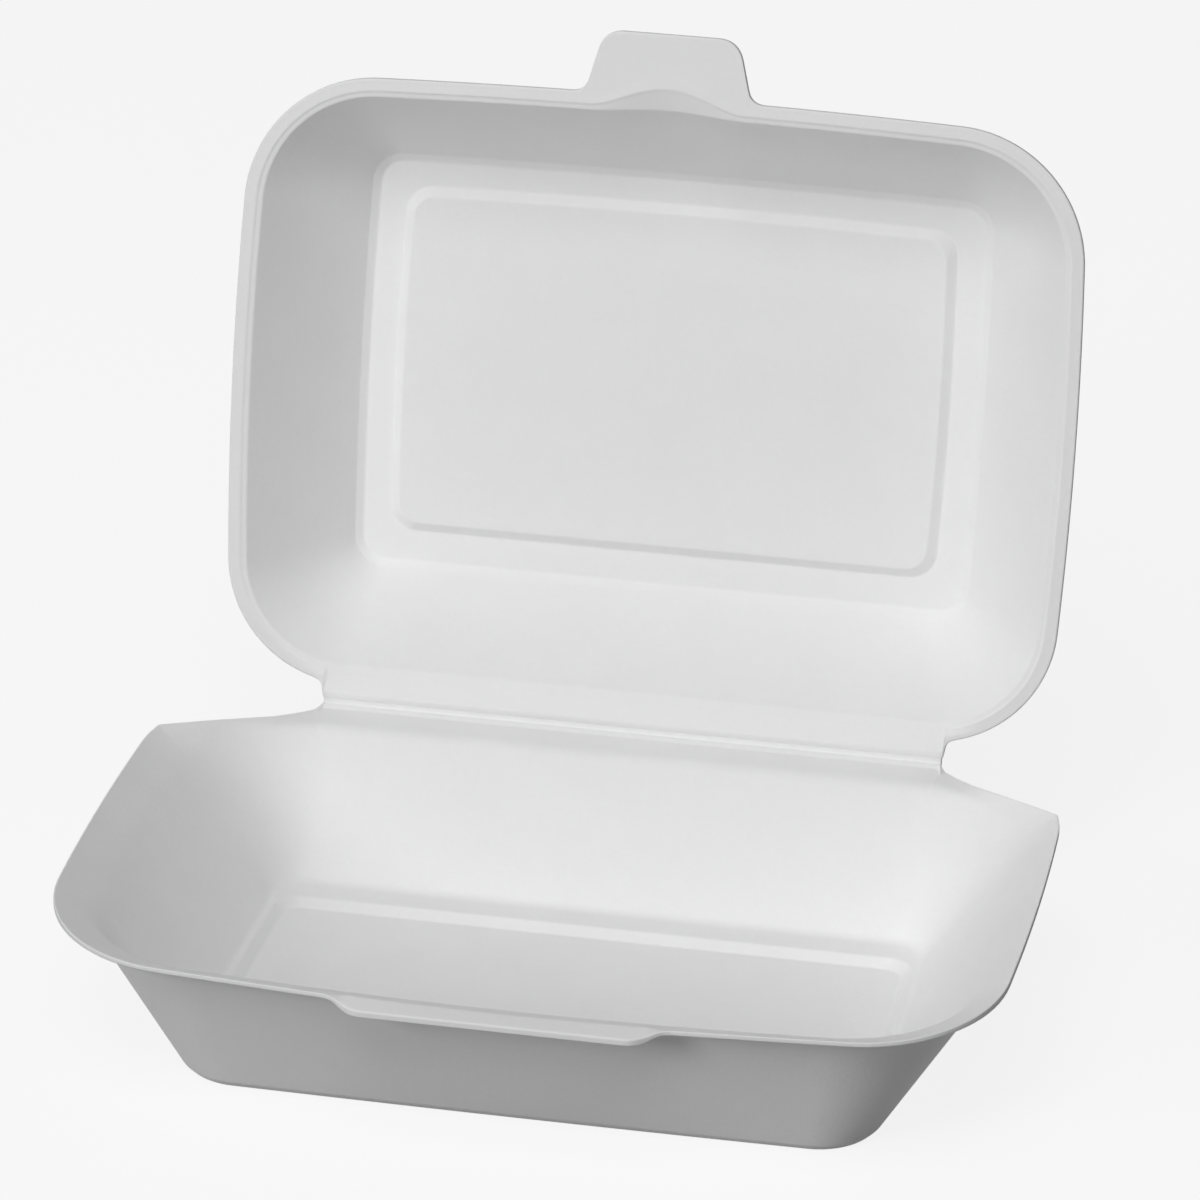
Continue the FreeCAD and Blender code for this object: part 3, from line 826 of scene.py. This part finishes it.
@dataclass(frozen=True)
class DomedLid:
    """Lid: flat lip with tab, sloped walls, and a chamfered ceiling with a panel pressed in.

    It is drawn lying closed, so levels count from the lip's underside up to the crown. Names that
    start with outer or dish are the outside.
    """

    finish: FoamFinish
    fold: FoldLine

    # Inside, from the middle of the panel to the cut edge.
    panel: Outline = Outline(56.9, 36.9, 33.3, 4.6, 4.6, 0.8, 0.8)
    panel_level: float = 23.0
    panel_inset: float = 3.0
    panel_foot: Outline = Outline(58.8, 38.8, 35.2, 5.6, 5.6, 0.8, 0.8)
    ceiling: Outline = Outline(64.6, 43.8, 41.7, 5.0, 5.0, 0.8, 0.8)
    ceiling_level: float = 24.8
    wall_foot: Outline = Outline(66.2, 45.4, 43.3, 6.6, 6.6, 0.8, 0.8)
    wall_foot_level: float = 23.8
    mouth: Outline = Outline(85.3, 61.4, 61.3, 25.1, 23.1, 2.5, 2.2)
    edge: Outline = Outline(88.2, 64.3, 64.2, 28.0, 26.0, 2.5, 2.2)

    # Turn from the wall into the lip, the crescent beside the tab and the flange at the fold.
    wall_end: float = 0.9
    gutter: float = 0.2
    gutter_step: float = 0.15
    crescent_half: float = 16.0
    crescent_depth: float = 1.3
    flange_slant: float = 1.65
    bead: float = 0.6

    # Thickness at the cut edge, and the outside up to the dish in the crown.
    sheet_edge: float = 1.5
    crown: float = 26.4
    outer_root: Outline = Outline(87.0, 63.1, 63.0, 26.8, 24.8, 2.5, 2.2)
    outer_crown: Outline = Outline(67.9, 46.8, 44.7, 9.2, 9.2, 0.6, 0.6)
    dish: Outline = Outline(55.6, 35.6, 32.0, 4.0, 4.0, 0.6, 0.6)
    dish_slope: float = 1.2
    dish_depth: float = 1.5
    dish_inset: float = 2.5

    # Cut edge in plan.
    tab_end: float = 13.9
    tab_root: float = 17.2
    tab_blend: float = 8.0
    tab_reach: float = 77.1
    fold_half: float = 65.5
    fold_back: float = 67.5
    notch: tuple[float, float] = (66.1, 64.0)
    notch_gap: float = 3.6

    def columns(self) -> Columns:
        """Columns crowded at the tab's sides and the ends of the fold."""
        return Columns(
            front=crowded(90, centres=[0.27], width=0.1, gain=5.0),
            corner=np.linspace(0.0, 1.0, 30),
            end=np.linspace(0.0, 1.0, 26),
            back_corner=crowded(48, centres=[0.9], width=0.12, gain=3.0),
            rear=crowded(42, centres=[0.0], width=0.12, gain=4.0),
        )

    def edge_path(self, columns: Columns) -> Array:
        """Right half of the cut edge in plan: tab, lip, notch and fold.

        Args:
            columns: where the lip's own outline is sampled.

        Returns:
            Corners (m, 2) from left of the tab's middle to left of the fold's middle.
        """
        lip = self.edge.half(columns)[0]
        fore = lip[: len(columns.front)]
        beyond = self.tab_root + self.tab_blend
        root_y, beyond_y = np.interp([self.tab_root, beyond], fore[:, 0], fore[:, 1])
        tab = rounded_path(
            [
                (-self.tab_end, -self.tab_reach),
                (self.tab_end, -self.tab_reach),
                (self.tab_root, root_y),
                (beyond, beyond_y),
            ],
            [5.6, 5.2],
        )
        at_notch = (lip[:, 1] > 0.0) & (lip[:, 0] < self.fold_half + self.notch_gap)
        side = lip[(lip[:, 0] > beyond) & ~at_notch]
        back = rounded_path(
            [
                tuple(side[-1]),
                self.notch,
                (self.fold_half, self.fold_back),
                (-self.fold_half, self.fold_back),
            ],
            [2.6, 0.3],
        )
        return np.vstack([tab, side[:-1], back])

    def rows(self) -> tuple[Array, Array]:
        """Rings of the shell, from the middle of the pressed panel over the lip to the crown.

        Stations of each profile: panel, its bevel, ceiling, chamfer, wall's end, gutter, lip, both
        sides of the cut edge, root of the outer wall, crown and dish. Beside the tab the gutter
        bulges outwards and the wall ends deeper, both by the square of a parabola in X, which
        leaves a crescent. Along the fold two weights from 0 to 1 turn the lip into a flange that
        slants from the wall up to a bead.

        Returns:
            Rows (r, n, 3), already turned open, and the mark of the cut edge (r, n).
        """
        columns = self.columns()
        mouth, away = self.mouth.half(columns)
        gap = first_crossing(mouth, away, self.edge_path(columns))
        edge = mouth + away * gap[:, None]
        parabola = np.clip(1.0 - (mouth[:, 0] / self.crescent_half) ** 2, 0.0, None)
        bulge = parabola**2 * (mouth[:, 1] < 0.0)
        rear = smooth_step(edge[:, 1], 64.4, 66.8)
        slant = smooth_step(-mouth[:, 0], -74.0, -52.0) * (mouth[:, 1] > 0.0)
        lip_width = np.minimum(gap, self.edge.front - self.mouth.front)
        thick = self.sheet_edge - 0.3 * rear

        def outward(distance: Array) -> Array:
            """Places at a distance outside the mouth."""
            return mouth + away * distance[:, None]

        def level(lip: Array | float, flange: float) -> Array:
            """Levels that change from the lip's to the flange's at the fold."""
            return between(lip, flange, slant)

        wall_end = outward(0.8 * bulge - self.wall_end)
        gutter = outward(3.9 * bulge)
        lip_near = outward(4.1 * bulge + between(0.16 * lip_width, 0.18 * gap, rear))
        lip_far = outward(5.4 * bulge + between(0.62 * lip_width, 0.8 * gap, rear))
        deep = self.gutter + self.gutter_step + self.crescent_depth * bulge
        dish_level = self.crown - self.dish_depth
        gutter_turn = level(1.0, 3.0)

        profile = [
            (self.panel.grown(-self.panel_inset).ring(columns, self.panel_level), 0.0),
            (self.panel.ring(columns, self.panel_level), 0.8),
            (self.panel_foot.ring(columns, self.ceiling_level), 0.8),
            (self.ceiling.ring(columns, self.ceiling_level), 0.9),
            (self.wall_foot.ring(columns, self.wall_foot_level), 1.2),
            (lifted(wall_end, level(deep, self.flange_slant + 0.5)), gutter_turn),
            (lifted(gutter, level(self.gutter, self.flange_slant)), gutter_turn),
            (lifted(lip_near, level(-0.05 - 0.05 * bulge, self.flange_slant - 0.55)), gutter_turn),
            (lifted(lip_far, level(0.0, -self.bead)), level(1.2, 0.9)),
            (lifted(edge, 0.0), 0.45),
            (lifted(edge, thick), 0.45),
            (self.outer_root.ring(columns, level(1.9, 2.7)), 1.5),
            (self.outer_crown.ring(columns, self.crown), 4.0),
            (self.dish.grown(self.dish_slope).ring(columns, self.crown), 1.0),
            (self.dish.ring(columns, dish_level), 1.0),
            (self.dish.grown(-self.dish_inset).ring(columns, dish_level), 0.0),
        ]
        rows, cut = shell(profile, cut_station=9)
        return self.fold.opened(rows), cut

    def build(self) -> bpy.types.Object:
        """Builds and dresses the lid, which stands for the CAD lid."""
        piece = self.finish.dressed("lid_dome", *self.rows())
        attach(piece, "lid")
        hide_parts("lid")
        return piece


@dataclass(frozen=True)
class FoldStrip:
    """Thin pressed strip between the two flanges, shaped for the fold's opening angle."""

    finish: FoamFinish
    fold: FoldLine
    half: float = 65.3
    inset: float = 0.12
    overlap: float = 0.8
    thick: float = 1.0
    base_level: float = 32.1
    end_steps: tuple[float, float] = (0.3, 1.0)
    sections: int = 90

    def rows(self) -> Array:
        """Sections of the strip, side by side along the fold.

        A section is a closed loop: up the inner face from the base's flange through a shallow
        groove to the lid's flange, and back down the outer face. The loop is carried along X.

        Returns:
            Rings (columns, n, 3), one for each section.
        """
        back, level = self.fold.back, self.fold.level
        grip = back - self.overlap
        faces = [[0.0, grip, self.inset], [0.0, grip, self.inset + self.thick]]
        top = self.base_level - self.inset
        low = top - self.thick
        loop = np.vstack(
            [
                [[0.0, grip, low], [0.0, grip, top]],
                [[0.0, back - 0.2, top - 0.15], [0.0, back + 0.15, top + 0.5]],
                self.fold.opened(np.array(faces)),
                [[0.0, back + 1.2, level - 0.4], [0.0, back + 0.4, low - 0.05], [0.0, grip, low]],
            ]
        )
        section = rounded(loop[:, None], [0.1, 0.3, 0.3, 0.1, 0.1, 0.5, 0.5], steps=4)[:-1, 0]
        near, far = self.end_steps
        inner = np.linspace(far - self.half, self.half - far, self.sections)
        ends = np.array([self.half - near, self.half])
        across = np.concatenate([-ends[::-1], inner, ends])
        rings = np.repeat(section[None], len(across), axis=0)
        rings[..., 0] = across[:, None]
        return rings

    def build(self) -> bpy.types.Object:
        """Builds and dresses the strip, which runs from the base's flange to the lid's."""
        rows = self.rows()
        piece = self.finish.dressed("fold_strip", rows, np.zeros(rows.shape[:2]))
        start = (0.0, (self.fold.back - 0.2) * MM, (self.fold.level - 1.2) * MM)
        end = (0.0, (self.fold.back + 0.4) * MM, (self.fold.level + 0.2) * MM)
        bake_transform(piece)
        return piece


# The studio.


@dataclass(frozen=True)
class SoftLamp:
    """Large square lamp that faces a point above the table."""

    name: str
    place: Place
    size: float
    power: float

    def build(self, target: Vector) -> bpy.types.Object:
        """Hangs the lamp so that it faces target."""
        lamp = bpy.data.lights.new(self.name, "AREA")
        lamp.shape = "SQUARE"
        lamp.size = self.size
        lamp.energy = self.power
        made = bpy.data.objects.new(self.name, lamp)
        made.location = self.place
        made.rotation_euler = (target - made.location).to_track_quat("-Z", "Y").to_euler()
        bpy.context.scene.collection.objects.link(made)
        return made


@dataclass(frozen=True)
class Studio:
    """Pale floor, white surroundings, soft lamps and the camera.

    The floor is floor_white to the camera and floor_grey to the light that it throws back on to
    the box. The camera sees the floor glow with floor_share of full white, and the rest is lit.
    """

    lamps: tuple[SoftLamp, ...] = (
        SoftLamp("key_lamp", (-1.13, -1.65, 0.93), 0.7, 14.5),
        SoftLamp("top_lamp", (0.0, -1.23, 1.87), 1.3, 21.0),
    )
    target: Place = (0.0, 0.03, 0.07)
    sky: float = 0.08
    floor_half: float = 12.0
    floor_lines: int = 9
    floor_drop: float = 0.00002
    floor_white: Colour = (0.9, 0.9, 0.9, 1.0)
    floor_grey: Colour = (0.33, 0.33, 0.33, 1.0)
    floor_share: float = 0.86
    eye: Place = (0.2410, -1.1974, 0.6440)
    heading: float = 11.08
    pitch: float = 24.31
    roll: float = 0.89
    focal: float = 206.19
    sensor: float = 36.0
    clip: tuple[float, float] = (0.05, 50.0)

    def seen_white(self, graph: Graph) -> Signal:
        """1 for a ray from the camera or by way of a mirror or glass, else 0."""
        path = graph.node("ShaderNodeLightPath")
        camera = Signal(graph, path.outputs["Is Camera Ray"])
        glossy = Signal(graph, path.outputs["Is Glossy Ray"])
        clear = Signal(graph, path.outputs["Is Transmission Ray"])
        return camera.math("MAXIMUM", glossy).math("MAXIMUM", clear)

    def build_world(self) -> None:
        """Even grey light from all round, white to the camera."""
        world = bpy.data.worlds.new("white_room")
        bpy.context.scene.world = world
        graph = Graph(world)
        kind = "ShaderNodeBackground"
        dim = graph.node(kind, inputs={"Color": WHITE, "Strength": self.sky})
        white = graph.node(kind, inputs={"Color": WHITE, "Strength": 1.0})
        surface = graph.choice(self.seen_white(graph), dim, white)
        graph.node("ShaderNodeOutputWorld", inputs={"Surface": surface})

    def build_floor(self) -> bpy.types.Object:
        """Builds the floor, a flat grid of squares that keeps the box's faint shadow.

        Returns:
            The floor.
        """
        ticks = np.linspace(-self.floor_half, self.floor_half, self.floor_lines)
        across, along = np.meshgrid(ticks, ticks)
        level = np.full(across.size, -self.floor_drop)
        points = np.column_stack([across.ravel(), along.ravel(), level])
        index = np.arange(across.size).reshape(across.shape)
        quads = np.stack(
            [index[:-1, :-1], index[:-1, 1:], index[1:, 1:], index[1:, :-1]], axis=-1
        ).reshape(-1, 4)
        mesh = bpy.data.meshes.new("floor")
        mesh.from_pydata(points.tolist(), [], quads.tolist())
        floor = shown(mesh)
        made = bpy.data.materials.new("pale_floor")
        graph = Graph(made)
        seen = self.seen_white(graph)
        colour = graph.blend(seen, self.floor_grey, self.floor_white)
        pale = graph.node("ShaderNodeBsdfDiffuse", inputs={"Color": colour})
        white = graph.node("ShaderNodeEmission", inputs={"Color": WHITE, "Strength": 1.0})
        surface = graph.choice(seen * self.floor_share, pale, white)
        graph.node("ShaderNodeOutputMaterial", inputs={"Surface": surface})
        floor.data.materials.append(made)
        return floor

    def build_camera(self) -> bpy.types.Object:
        """Builds the camera at the photograph's angle.

        Its forward direction follows from heading and pitch, and its right and up directions are
        turned about it by the roll.

        Returns:
            The camera, which the scene uses.
        """
        turn, down, tip = (math.radians(a) for a in (self.heading, self.pitch, self.roll))
        forward = Vector(
            (-math.sin(turn) * math.cos(down), math.cos(turn) * math.cos(down), -math.sin(down))
        )
        level = Vector((math.cos(turn), math.sin(turn), 0.0))
        above = level.cross(forward)
        right = level * math.cos(tip) + above * math.sin(tip)
        up = above * math.cos(tip) - level * math.sin(tip)
        lens = bpy.data.cameras.new("camera")
        lens.sensor_width = self.sensor
        lens.lens = self.focal
        lens.clip_start, lens.clip_end = self.clip
        made = bpy.data.objects.new("camera", lens)
        matrix = Matrix((right, up, -forward)).transposed().to_4x4()
        matrix.translation = Vector(self.eye)
        made.matrix_world = matrix
        bpy.context.scene.collection.objects.link(made)
        bpy.context.scene.camera = made
        return made

    def build(self) -> None:
        """Builds the whole studio."""
        self.build_world()
        self.build_floor()
        for lamp in self.lamps:
            lamp.build(Vector(self.target))
        self.build_camera()


def report(piece: bpy.types.Object) -> None:
    """Logs one piece and how many faces it has."""
    LOG.info("%s: %d faces", piece.name, len(piece.data.polygons))


def main() -> None:
    """Builds the studio and the box's pieces, in order."""
    logging.basicConfig(level=logging.INFO, format="%(name)s: %(message)s")
    bpy.context.scene.view_settings.view_transform = "Standard"
    Studio().build()
    fold = FoldLine()
    report(BaseTub(FoamFinish(Sheet.BASE)).build())
    report(DomedLid(FoamFinish(Sheet.LID), fold).build())
    report(FoldStrip(FoamFinish(Sheet.BASE), fold).build())


if __name__ == "__main__":
    main()
